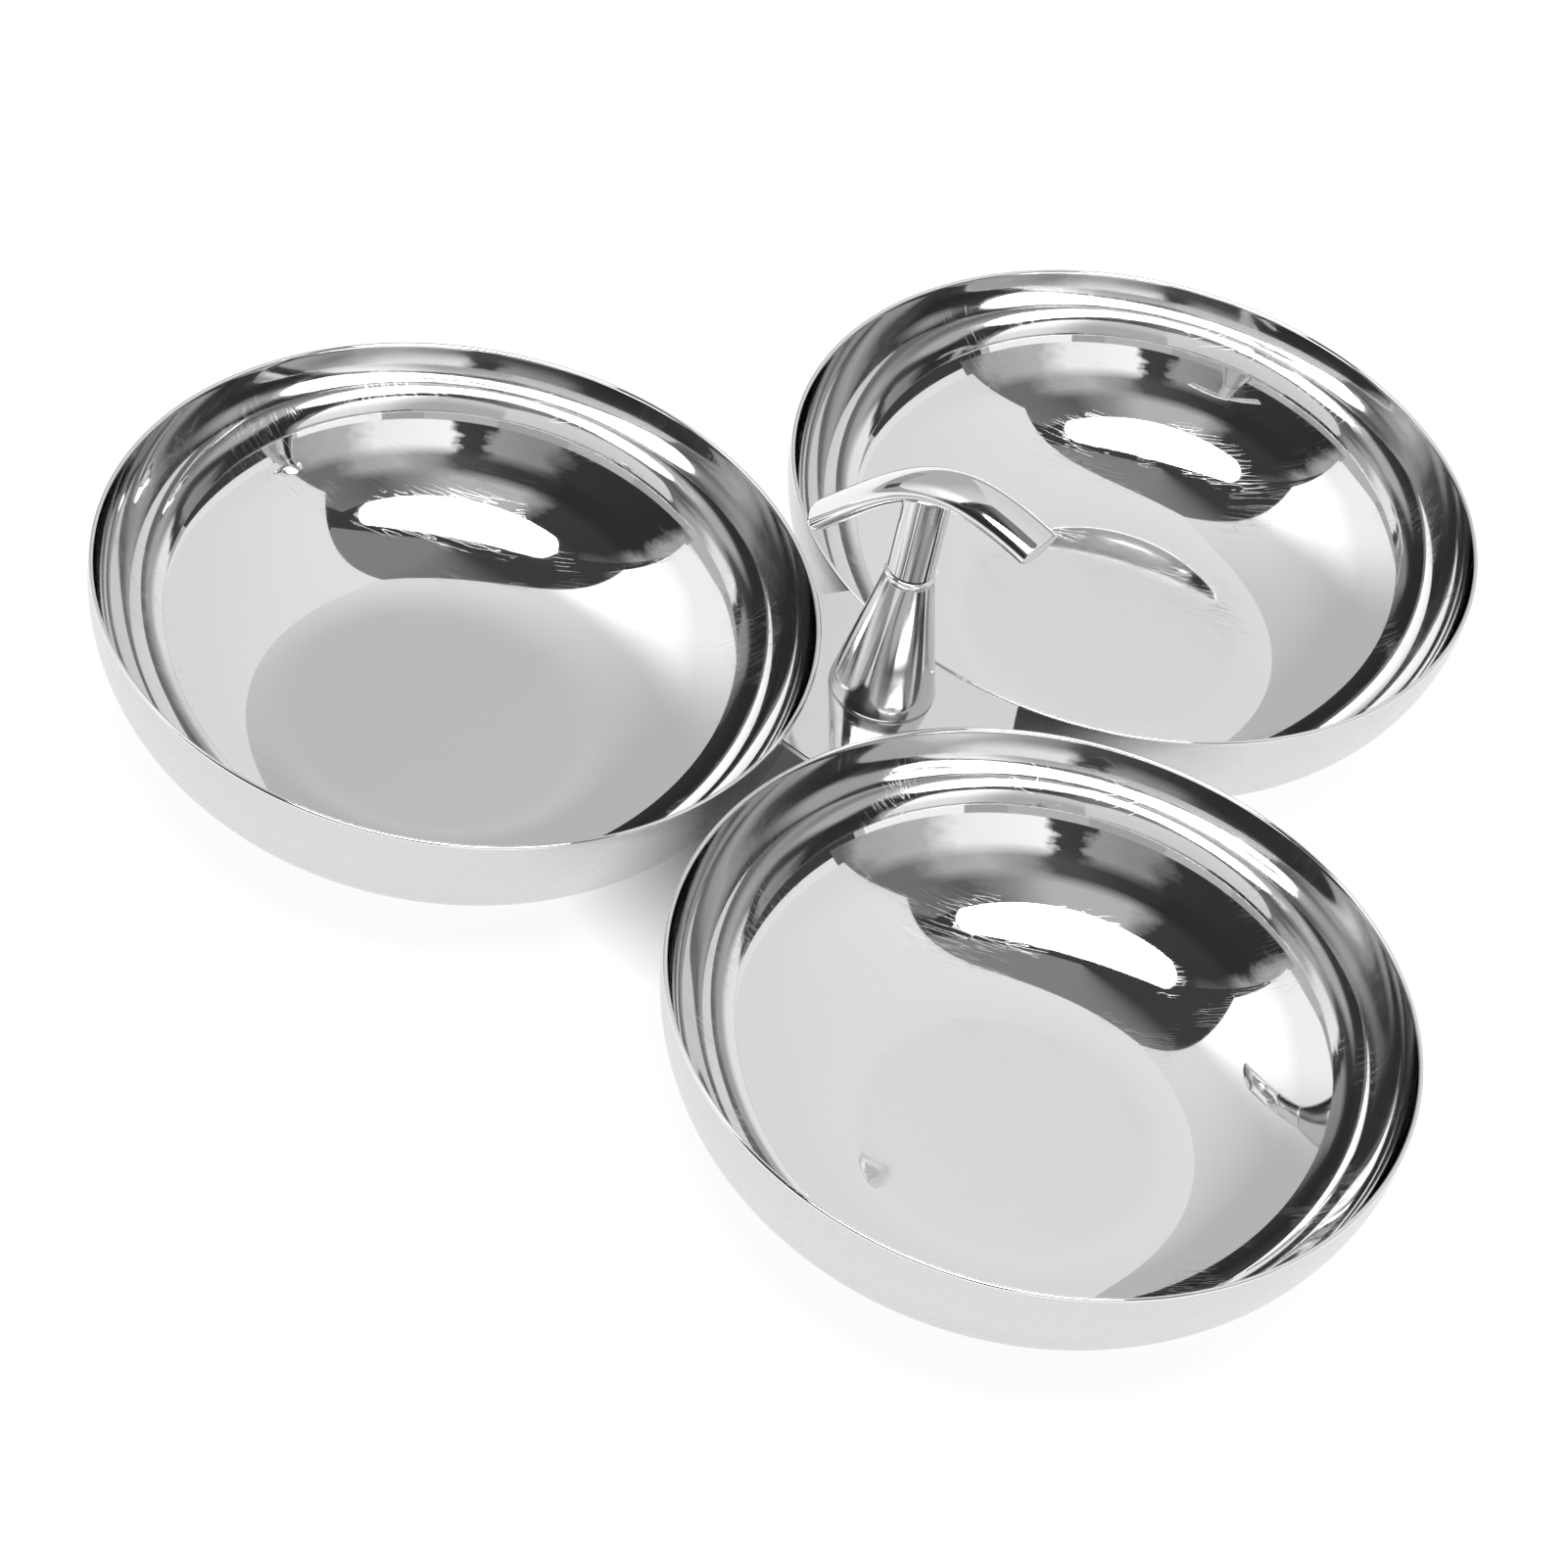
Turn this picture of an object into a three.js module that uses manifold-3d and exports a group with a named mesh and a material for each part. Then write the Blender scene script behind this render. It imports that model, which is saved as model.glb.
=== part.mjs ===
// Serving dish: three round bowls around a hub plate that carries a conical post and a bent bar handle.
// Millimetres, +Z up. The table is z = 0. The origin is the middle of the footprint, below the bowls.
import * as THREE from "three";
import { mergeVertices } from "three/addons/utils/BufferGeometryUtils.js";
import Module from "manifold-3d";

const wasm = await Module();
wasm.setup();

// Clearance left between pieces that touch on the real dish.
const GAP = 0.3;

// Bowls: pressed from one sheet each, with a flat base and an upright rim. The floor rises a little in
// the middle.
const RIM_RADIUS = 80;
const BOWL_HEIGHT = 43.5;
const SHEET = 1;
const BASE_RADIUS = 34;
const FLOOR_RISE = 0.5;
const WALL_EXPONENT = 2.05;
const WALL_STEPS = 10;
const BOWL_SIDES = 60;

// Layout: the bowls stand 120 degrees apart on a circle around the post.
const BOWL_DISTANCE = 94.6;
const BOWLS = [
  { name: "left", azimuth: Math.PI },
  { name: "rear", azimuth: Math.PI / 3 },
  { name: "front", azimuth: -Math.PI / 3 },
];

// Hub plate: three concave sides that follow the rims, and three short straight ends.
const PLATE_THICKNESS = 1.5;
const PLATE_DROP = 0.3;
const PLATE_REACH = 30;
const STUD_HOLE_RADIUS = 2.8;

// Solder seams under the plate, one along each bowl.
const SEAM_LEG = 1.5;
const SEAM_HALF_ANGLE = 0.24;
const SEAM_STEPS = 10;

// Post: a hollow cone, a thin collar, and a solid neck that ends in a saddle under the handle.
const CONE_BASE_RADIUS = 11.7;
const CONE_TOP_RADIUS = 5.5;
const CONE_HEIGHT = 33;
const CONE_WALL = 1.2;
const CONE_FOOT_ROUND = 0.6;
const COLLAR_RADIUS = 5.7;
const COLLAR_HEIGHT = 1.3;
const NECK_RADIUS = 5.2;
const POST_SIDES = 40;

// Fastening under the plate: a threaded stud, a washer and a domed nut.
const STUD_RADIUS = 2.5;
const STUD_BELOW_PLATE = 5.5;
const WASHER_RADIUS = 6.5;
const WASHER_HEIGHT = 1;
const NUT_ACROSS_FLATS = 8;
const NUT_HEIGHT = 4;
const NUT_DOME_RADIUS = 3.6;
const NUT_DOME_HEIGHT = 3;
const NUT_WALL_ABOVE_STUD = 0.8;

// Handle: a flattened bar in one upright plane. Its slope turns softly from the left arm's to the right arm's
// around a bend that lies a little to the right of the post. Lengths run along the bar from that bend.
const HANDLE_WIDTH = 11.8;
const HANDLE_THICKNESS = 6.2;
const HANDLE_TURN = -0.515;
const HANDLE_BEND_OUT = 4.2;
const HANDLE_BEND_ABOVE_RIM = 60.4;
const HANDLE_BEND_SPREAD = 15.2;
const HANDLE_LEFT_SLOPE = 0.914;
const HANDLE_RIGHT_SLOPE = 0.252;
const HANDLE_LEFT_LENGTH = 38.9;
const HANDLE_RIGHT_LENGTH = 24.6;
const HANDLE_SECTION_SIDES = 12;
const HANDLE_STEPS = 24;

// Places worked out from the sizes above.
const POST_X = (BOWL_DISTANCE - BOWL_DISTANCE * Math.cos(Math.PI / 3)) / 2;
const PLATE_TOP = BOWL_HEIGHT - PLATE_DROP;
const PLATE_BOTTOM = PLATE_TOP - PLATE_THICKNESS;
const CONE_FOOT = PLATE_TOP + GAP;
const CONE_TOP = CONE_FOOT + CONE_HEIGHT;
const COLLAR_FOOT = CONE_TOP + GAP;
const NECK_FOOT = COLLAR_FOOT + COLLAR_HEIGHT + GAP;
const HANDLE_BEND_HEIGHT = BOWL_HEIGHT + HANDLE_BEND_ABOVE_RIM;

const mirrorSteel = () => new THREE.MeshStandardMaterial({ color: 0xd4d5d6, roughness: 0.04, metalness: 1 });
const satinSteel = () => new THREE.MeshStandardMaterial({ color: 0xc6c7c9, roughness: 0.28, metalness: 1 });
const solderMetal = () => new THREE.MeshStandardMaterial({ color: 0xb4b4b2, roughness: 0.4, metalness: 1 });

const dish = new THREE.Group();

// The post and everything on it share one upright axis.
const post = new THREE.Group();
post.position.x = POST_X;
dish.add(post);

function addPiece(parent, name, geometry, material) {
  const piece = new THREE.Mesh(geometry, material);
  piece.name = name;
  parent.add(piece);
  return piece;
}

// A solid of revolution about +Z from [radius, height] points.
function turned(points, sides) {
  const profile = points.map(([radius, height]) => new THREE.Vector2(radius, height));
  const geometry = new THREE.LatheGeometry(profile, sides);
  geometry.rotateX(Math.PI / 2);
  return geometry;
}

function toSolid(geometry) {
  const bare = geometry.clone();
  bare.deleteAttribute("normal");
  bare.deleteAttribute("uv");
  const merged = mergeVertices(bare, 1e-3);
  const mesh = new wasm.Mesh({
    numProp: 3,
    vertProperties: merged.attributes.position.array,
    triVerts: new Uint32Array(merged.index.array),
  });
  return new wasm.Manifold(mesh);
}

function toGeometry(solid) {
  const mesh = solid.getMesh();
  const geometry = new THREE.BufferGeometry();
  geometry.setAttribute("position", new THREE.BufferAttribute(new Float32Array(mesh.vertProperties), 3));
  geometry.setIndex(new THREE.BufferAttribute(new Uint32Array(mesh.triVerts), 1));
  geometry.computeVertexNormals();
  return geometry;
}

// Bowl wall as a quarter of a superellipse, upright at the rim and level at the base.
function wallPoint(step, rimRadius, baseRadius, top, bottom) {
  const angle = (step / WALL_STEPS) * (Math.PI / 2);
  const out = Math.cos(angle) ** (2 / WALL_EXPONENT);
  const down = Math.sin(angle) ** (2 / WALL_EXPONENT);
  return [baseRadius + (rimRadius - baseRadius) * out, top - (top - bottom) * down];
}

function bowlGeometry() {
  const rimCentre = BOWL_HEIGHT - SHEET / 2;
  const points = [[0, 0]];
  for (let step = WALL_STEPS; step >= 0; step--)
    points.push(wallPoint(step, RIM_RADIUS, BASE_RADIUS, rimCentre, 0));
  points.push([RIM_RADIUS - SHEET * 0.2, BOWL_HEIGHT]);
  points.push([RIM_RADIUS - SHEET * 0.8, BOWL_HEIGHT]);
  for (let step = 0; step <= WALL_STEPS; step++)
    points.push(wallPoint(step, RIM_RADIUS - SHEET, BASE_RADIUS, rimCentre, SHEET));
  for (const share of [0.75, 0.5, 0.25, 0])
    points.push([BASE_RADIUS * share, SHEET + FLOOR_RISE * (1 - share ** 2)]);
  return turned(points, BOWL_SIDES);
}

for (const { name, azimuth } of BOWLS) {
  const bowl = addPiece(post, "bowl_" + name, bowlGeometry(), satinSteel());
  bowl.position.set(BOWL_DISTANCE * Math.cos(azimuth), BOWL_DISTANCE * Math.sin(azimuth), 0);
}

function hubPlate() {
  const sideRadius = RIM_RADIUS + GAP;
  const across = BOWL_DISTANCE * Math.sin(Math.PI / 3);
  const along = BOWL_DISTANCE / 2 - PLATE_REACH;
  const halfEnd = across - Math.sqrt(sideRadius ** 2 - along ** 2);
  const corner = new THREE.Vector2(PLATE_REACH, halfEnd);
  const toGap = Math.PI / 3;
  corner.rotateAround(new THREE.Vector2(0, 0), -toGap);
  const halfAngle = Math.atan2(-corner.y, BOWL_DISTANCE - corner.x);
  const outline = new THREE.Shape();
  for (const azimuth of [-Math.PI / 3, Math.PI / 3, Math.PI]) {
    const inward = azimuth + Math.PI;
    const centreX = BOWL_DISTANCE * Math.cos(azimuth);
    const centreY = BOWL_DISTANCE * Math.sin(azimuth);
    outline.absarc(centreX, centreY, sideRadius, inward + halfAngle, inward - halfAngle, true);
  }
  outline.closePath();
  const hole = new THREE.Path();
  hole.absarc(0, 0, STUD_HOLE_RADIUS, 0, 2 * Math.PI, true);
  outline.holes.push(hole);
  const geometry = new THREE.ExtrudeGeometry(outline, {
    depth: PLATE_THICKNESS,
    bevelEnabled: false,
    curveSegments: 14,
  });
  return geometry.translate(0, 0, PLATE_BOTTOM);
}
addPiece(post, "hub_plate", hubPlate(), mirrorSteel());

// A three-sided fillet in the corner between a bowl's wall and the plate's underside.
function seamGeometry() {
  const pathRadius = RIM_RADIUS + GAP;
  const points = [];
  for (let step = 0; step <= SEAM_STEPS; step++) {
    const angle = Math.PI + SEAM_HALF_ANGLE * ((2 * step) / SEAM_STEPS - 1);
    points.push(new THREE.Vector3(pathRadius * Math.cos(angle), pathRadius * Math.sin(angle), 0));
  }
  const section = new THREE.Shape();
  section.moveTo(0, 0);
  section.lineTo(0, -SEAM_LEG);
  section.lineTo(SEAM_LEG, 0);
  section.closePath();
  const geometry = new THREE.ExtrudeGeometry(section, {
    steps: SEAM_STEPS,
    bevelEnabled: false,
    extrudePath: new THREE.CatmullRomCurve3(points),
  });
  return geometry.translate(0, 0, PLATE_BOTTOM - GAP);
}
for (const { name, azimuth } of BOWLS) {
  const seam = addPiece(post, "solder_seam_" + name, seamGeometry(), solderMetal());
  seam.rotation.z = azimuth;
  seam.position.set(BOWL_DISTANCE * Math.cos(azimuth), BOWL_DISTANCE * Math.sin(azimuth), 0);
}

const studTunnel = STUD_RADIUS + GAP;
const coneGeometry = turned(
  [
    [CONE_BASE_RADIUS - CONE_WALL, CONE_FOOT],
    [CONE_BASE_RADIUS - CONE_FOOT_ROUND, CONE_FOOT],
    [CONE_BASE_RADIUS, CONE_FOOT + CONE_FOOT_ROUND],
    [CONE_TOP_RADIUS, CONE_TOP],
    [studTunnel, CONE_TOP],
    [studTunnel, CONE_TOP - CONE_WALL],
    [CONE_TOP_RADIUS - CONE_WALL, CONE_TOP - CONE_WALL],
    [CONE_BASE_RADIUS - CONE_WALL, CONE_FOOT],
  ],
  POST_SIDES,
);
addPiece(post, "post_cone", coneGeometry, mirrorSteel());

const collarMiddle = COLLAR_FOOT + COLLAR_HEIGHT / 2;
const collarEdge = COLLAR_RADIUS - COLLAR_HEIGHT / 4;
const collarGeometry = turned(
  [
    [studTunnel, COLLAR_FOOT],
    [collarEdge, COLLAR_FOOT],
    [COLLAR_RADIUS, collarMiddle],
    [collarEdge, COLLAR_FOOT + COLLAR_HEIGHT],
    [studTunnel, COLLAR_FOOT + COLLAR_HEIGHT],
    [studTunnel, COLLAR_FOOT],
  ],
  POST_SIDES,
);
addPiece(post, "post_collar", collarGeometry, mirrorSteel());

// The bar's downward slope, in radians, at a distance along it from the bend.
function handleSlope(along) {
  const share = (1 + Math.tanh(along / HANDLE_BEND_SPREAD)) / 2;
  return -HANDLE_LEFT_SLOPE + (HANDLE_LEFT_SLOPE + HANDLE_RIGHT_SLOPE) * share;
}

// Walks from the bend to one end of the bar in short straight steps, and returns the points passed.
function walkBar(length, side) {
  const paces = 16;
  const pace = (side * length) / paces;
  const points = [];
  let x = HANDLE_BEND_OUT;
  let z = HANDLE_BEND_HEIGHT;
  for (let count = 0; count < paces; count++) {
    const slope = handleSlope((count + 0.5) * pace);
    x += pace * Math.cos(slope);
    z -= pace * Math.sin(slope);
    points.push(new THREE.Vector3(x, 0, z));
  }
  return points;
}

// The bar's centre line in its own upright plane, from the left end to the right end.
function handlePoints() {
  const bend = new THREE.Vector3(HANDLE_BEND_OUT, 0, HANDLE_BEND_HEIGHT);
  return [...walkBar(HANDLE_LEFT_LENGTH, -1).reverse(), bend, ...walkBar(HANDLE_RIGHT_LENGTH, 1)];
}

// The bar swept along that line; grow makes it fatter all round.
function handleGeometry(grow) {
  const section = new THREE.Shape();
  section.absellipse(0, 0, HANDLE_WIDTH / 2 + grow, HANDLE_THICKNESS / 2 + grow, 0, 2 * Math.PI, false, 0);
  return new THREE.ExtrudeGeometry(section, {
    steps: HANDLE_STEPS,
    curveSegments: HANDLE_SECTION_SIDES,
    bevelEnabled: false,
    extrudePath: new THREE.CatmullRomCurve3(handlePoints()),
  });
}
const handle = addPiece(post, "handle_bar", handleGeometry(0), mirrorSteel());
handle.rotation.z = HANDLE_TURN;

// The neck reaches into the bar, and the bar with its clearance is cut away, which leaves the saddle.
function neckGeometry() {
  const neckTop = HANDLE_BEND_HEIGHT + HANDLE_BEND_OUT * Math.tan(handleSlope(-HANDLE_BEND_OUT / 2));
  const rod = turned(
    [
      [0, NECK_FOOT],
      [NECK_RADIUS, NECK_FOOT],
      [NECK_RADIUS, neckTop],
      [0, neckTop],
    ],
    POST_SIDES,
  );
  const bar = handleGeometry(GAP).rotateZ(HANDLE_TURN);
  const cut = toSolid(rod).subtract(toSolid(bar));
  const pieces = cut.decompose();
  const lowest = pieces.reduce((a, b) => (a.boundingBox().min[2] < b.boundingBox().min[2] ? a : b));
  return toGeometry(lowest);
}
addPiece(post, "post_neck", neckGeometry(), mirrorSteel());

const studFoot = PLATE_BOTTOM - STUD_BELOW_PLATE;
const studTop = NECK_FOOT - GAP;
const studGeometry = turned(
  [
    [0, studFoot],
    [STUD_RADIUS, studFoot],
    [STUD_RADIUS, studTop],
    [0, studTop],
  ],
  POST_SIDES / 2,
);
addPiece(post, "tie_stud", studGeometry, satinSteel());

const washerTop = PLATE_BOTTOM - GAP;
const washerFoot = washerTop - WASHER_HEIGHT;
const washerGeometry = turned(
  [
    [studTunnel, washerFoot],
    [WASHER_RADIUS, washerFoot],
    [WASHER_RADIUS, washerTop],
    [studTunnel, washerTop],
    [studTunnel, washerFoot],
  ],
  POST_SIDES,
);
addPiece(post, "washer", washerGeometry, satinSteel());

// Domed nut: a hexagon with a round cap below it and a blind hole for the stud.
function nutGeometry() {
  const nutTop = washerFoot - GAP;
  const nutFoot = nutTop - NUT_HEIGHT;
  const cornerRadius = NUT_ACROSS_FLATS / 2 / Math.cos(Math.PI / 6);
  const hexagon = new THREE.CylinderGeometry(cornerRadius, cornerRadius, NUT_HEIGHT, 6);
  hexagon.rotateX(Math.PI / 2).translate(0, 0, (nutTop + nutFoot) / 2);
  const dome = [[0, nutFoot - NUT_DOME_HEIGHT]];
  const domeSteps = 6;
  for (let step = 1; step <= domeSteps; step++) {
    const angle = (step / domeSteps) * (Math.PI / 2);
    dome.push([NUT_DOME_RADIUS * Math.sin(angle), nutFoot - NUT_DOME_HEIGHT * Math.cos(angle)]);
  }
  dome.push([NUT_DOME_RADIUS, nutFoot + NUT_HEIGHT / 2]);
  dome.push([0, nutFoot + NUT_HEIGHT / 2]);
  const holeFoot = studFoot - GAP - NUT_WALL_ABOVE_STUD / 2;
  const hole = turned(
    [
      [0, holeFoot],
      [studTunnel, holeFoot],
      [studTunnel, nutTop + GAP],
      [0, nutTop + GAP],
    ],
    POST_SIDES / 2,
  );
  const body = toSolid(hexagon).add(toSolid(turned(dome, POST_SIDES / 2)));
  return toGeometry(body.subtract(toSolid(hole)));
}
addPiece(post, "domed_nut", nutGeometry(), satinSteel());

export default dish;
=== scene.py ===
"""Serving dish with three bowls, a hub plate, a conical post and a bent bar handle. Metres, +Z up."""

import math

import bpy
from mathutils import Matrix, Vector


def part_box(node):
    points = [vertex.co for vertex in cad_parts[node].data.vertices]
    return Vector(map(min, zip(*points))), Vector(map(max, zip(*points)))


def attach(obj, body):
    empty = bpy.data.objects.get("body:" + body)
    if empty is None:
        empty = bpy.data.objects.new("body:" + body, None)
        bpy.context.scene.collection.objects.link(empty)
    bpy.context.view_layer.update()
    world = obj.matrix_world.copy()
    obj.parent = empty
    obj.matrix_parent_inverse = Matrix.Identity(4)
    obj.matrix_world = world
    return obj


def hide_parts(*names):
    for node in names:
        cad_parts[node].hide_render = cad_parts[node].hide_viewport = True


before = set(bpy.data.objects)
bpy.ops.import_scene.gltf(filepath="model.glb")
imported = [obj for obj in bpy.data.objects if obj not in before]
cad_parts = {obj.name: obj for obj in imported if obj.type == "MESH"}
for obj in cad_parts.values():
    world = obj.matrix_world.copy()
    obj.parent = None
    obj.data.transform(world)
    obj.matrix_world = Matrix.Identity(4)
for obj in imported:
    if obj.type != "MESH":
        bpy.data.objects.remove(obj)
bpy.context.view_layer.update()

MM = 0.001

# Bowl: the same wall as the CAD part, drawn finely enough for mirror reflections. The middles of the floors
# differ from the CAD's by up to 0.75 mm, which bends what they reflect.
RIM_RADIUS = 80 * MM
BOWL_HEIGHT = 43.5 * MM
SHEET = 1 * MM
BASE_RADIUS = 34 * MM
FLOOR_RISES = {"left": -0.25 * MM, "rear": 0.5 * MM, "front": 0.3 * MM}
FLOOR_EDGE_SOFTNESS = 3.5 * MM
BASE_RINGS = 24
WALL_EXPONENT = 2.05
WALL_STEPS = 96
BOWL_SIDES = 256
LIP_STEPS = 10
BOWL_DISTANCE = 94.6 * MM
BOWL_AZIMUTHS = {"left": math.pi, "rear": math.pi / 3, "front": -math.pi / 3}

# Hub plate.
PLATE_TOP = BOWL_HEIGHT - 0.3 * MM
PLATE_THICKNESS = 1.5 * MM
PLATE_REACH = 30 * MM
PLATE_BEVEL = 0.2 * MM
PLATE_ARC_STEPS = 48
PLATE_END_STEPS = 12
CORNER_SEARCH_ROUNDS = 60

# Solder seams under the plate.
SEAM_LEG = 1.5 * MM
SEAM_HALF_ANGLE = 0.24
SEAM_STATIONS = 60
SEAM_FILLET_STEPS = 8

# Post, from the plate up.
CONE_BASE_RADIUS = 11.7 * MM
CONE_TOP_RADIUS = 5.5 * MM
CONE_FOOT = PLATE_TOP + 0.04 * MM
CONE_TOP = PLATE_TOP + 33.3 * MM
CONE_WALL = 1.2 * MM
CONE_FOOT_ROUND = 0.6 * MM
CONE_TOP_ROUND = 0.35 * MM
COLLAR_RADIUS = 5.7 * MM
COLLAR_FOOT = CONE_TOP + 0.25 * MM
COLLAR_TOP = CONE_TOP + 1.65 * MM
COLLAR_BULGE = 0.45 * MM
NECK_RADIUS = 5.2 * MM
NECK_FOOT = CONE_TOP + 1.9 * MM
NECK_FLARE = 0.7 * MM
NECK_BEVEL = 0.25 * MM
NECK_STEPS = 24
NECK_FLARE_STEPS = 8
NECK_OVERLAP = 0.3 * MM
NECK_CORE_DROP = 2 * MM
STUD_RADIUS = 2.5 * MM
STUD_TUNNEL = 2.8 * MM
STUD_CHAMFER = 0.4 * MM
STUD_SIDES = 72
POST_SIDES = 144

# Fastening under the plate.
WASHER_RADIUS = 6.5 * MM
WASHER_HEIGHT = 1 * MM
WASHER_BEVEL = 0.15 * MM
WASHER_SIDES = 96
NUT_ACROSS_FLATS = 8 * MM
NUT_DOME_RADIUS = 3.6 * MM
NUT_DOME_HEIGHT = 3 * MM
NUT_DOME_STEPS = 16
NUT_SHOULDER = 0.2 * MM
NUT_LOW_CHAMFER = 0.5 * MM
NUT_TOP_CHAMFER = 0.4 * MM
NUT_TOP_INSET = 0.1 * MM
NUT_CHAMFER_STEPS = 6
NUT_CHAMFER_CURVE = 1.5
NUT_BORE_GAP = 0.15 * MM
NUT_SIDES = 144
STUD_BELOW_PLATE = 5.5 * MM

# Handle: a flattened bar in one upright plane. Its slope turns softly between two nearly straight arms.
HANDLE_HALF_WIDTH = 5.9 * MM
HANDLE_HALF_THICKNESS = 3.1 * MM
HANDLE_TURN = -0.515
HANDLE_BEND_OUT = 4.2 * MM
HANDLE_BEND_HEIGHT = BOWL_HEIGHT + 60.4 * MM
HANDLE_BEND_SPREAD = 15.2 * MM
HANDLE_LEFT_SLOPE = 0.914
HANDLE_RIGHT_SLOPE = 0.252
HANDLE_LEFT_LENGTH = 38.9 * MM
HANDLE_RIGHT_LENGTH = 24.6 * MM
HANDLE_END_BEVEL = 0.3 * MM
HANDLE_BEVEL_RINGS = ((0.0, 1.0), (0.3, 0.35), (1.0, 0.0))
HANDLE_STATIONS = 200
HANDLE_SECTION = 96

SHARP_ANGLE = math.radians(35)

# Materials. Most values of a noise fall between NOISE_LOW and NOISE_HIGH.
NOISE_LOW = 0.3
NOISE_HIGH = 0.7
WALL_STEEL = (0.87, 0.87, 0.875)
FLOOR_STEEL = (0.838, 0.838, 0.843)
SATIN_STEEL = (0.64, 0.64, 0.645)
POLISH_DEPTH = 0.01 * MM
BRUSH_DEPTH = 0.02 * MM
SPECKLE_DEPTH = 0.08 * MM


def middle(node):
    lo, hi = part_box(node)
    return (lo + hi) / 2


def new_piece(name, mesh, materials):
    """Links a mesh, turns its faces outward and rides it on the one body."""
    mesh.validate()
    volume = 0.0
    for polygon in mesh.polygons:
        corners = [mesh.vertices[k].co for k in polygon.vertices]
        for second, third in zip(corners[1:], corners[2:]):
            volume += corners[0].dot(second.cross(third))
    if volume < 0:
        mesh.flip_normals()
    piece = bpy.data.objects.new(name, mesh)
    bpy.context.scene.collection.objects.link(piece)
    for material in materials:
        mesh.materials.append(material)
    mesh.set_sharp_from_angle(angle=SHARP_ANGLE)
    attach(piece, "root")
    return piece


def revolve(name, rings, angles, centre, materials, bands=()):
    """Closes a stack of rings about an upright axis. A ring is (radius, height) or a function of the angle.

    A stack that does not start on the axis joins its last ring to its first.
    bands gives the material of the strip above each ring.
    """
    vertices = []
    loops = []
    for ring in rings:
        start = len(vertices)
        if not callable(ring) and ring[0] == 0:
            vertices.append((centre[0], centre[1], ring[1]))
            loops.append([start])
            continue
        for angle in angles:
            radius, height = ring(angle) if callable(ring) else ring
            x = centre[0] + radius * math.cos(angle)
            y = centre[1] + radius * math.sin(angle)
            vertices.append((x, y, height))
        loops.append(list(range(start, start + len(angles))))
    strips = len(loops) - 1 if len(loops[0]) == 1 else len(loops)
    faces = []
    indices = []
    for k in range(strips):
        low = loops[k]
        high = loops[(k + 1) % len(loops)]
        for side in range(len(angles)):
            after = (side + 1) % len(angles)
            if len(low) == 1:
                faces.append((low[0], high[after], high[side]))
            elif len(high) == 1:
                faces.append((low[side], low[after], high[0]))
            else:
                faces.append((low[side], low[after], high[after], high[side]))
            indices.append(bands[k] if bands else 0)
    mesh = bpy.data.meshes.new(name)
    mesh.from_pydata(vertices, [], faces)
    piece = new_piece(name, mesh, materials)
    mesh.polygons.foreach_set("material_index", indices)
    return piece


def even_angles(sides):
    return [2 * math.pi * side / sides for side in range(sides)]


def wall_point(share, rim_radius, base_radius, top, bottom):
    angle = share * math.pi / 2
    out = math.cos(angle) ** (2 / WALL_EXPONENT) if share < 1 else 0.0
    down = math.sin(angle) ** (2 / WALL_EXPONENT)
    return base_radius + (rim_radius - base_radius) * out, top - (top - bottom) * down


def bowl_profile(floor_rise):
    """Rings from the middle of the underside, over the lip, to the middle of the floor."""
    lip_centre = BOWL_HEIGHT - SHEET / 2
    points = [(0, 0)]
    for ring in range(1, BASE_RINGS):
        points.append((BASE_RADIUS * ring / BASE_RINGS, 0))
    for step in range(WALL_STEPS, -1, -1):
        points.append(wall_point(step / WALL_STEPS, RIM_RADIUS, BASE_RADIUS, lip_centre, 0))
    outer_end = len(points) - 1
    for step in range(1, LIP_STEPS):
        angle = math.pi * step / LIP_STEPS
        radius = RIM_RADIUS - SHEET / 2 + SHEET / 2 * math.cos(angle)
        points.append((radius, lip_centre + SHEET / 2 * math.sin(angle)))
    inner_start = len(points)
    for step in range(WALL_STEPS + 1):
        points.append(wall_point(step / WALL_STEPS, RIM_RADIUS - SHEET, BASE_RADIUS, lip_centre, SHEET))
    for ring in range(BASE_RINGS - 1, 0, -1):
        share = ring / BASE_RINGS
        points.append((BASE_RADIUS * share, SHEET + floor_rise * (1 - share**2)))
    points.append((0, SHEET + floor_rise))
    bands = [0 if k < outer_end else 1 if k < inner_start else 2 for k in range(len(points) - 1)]
    return points, bands


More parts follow.
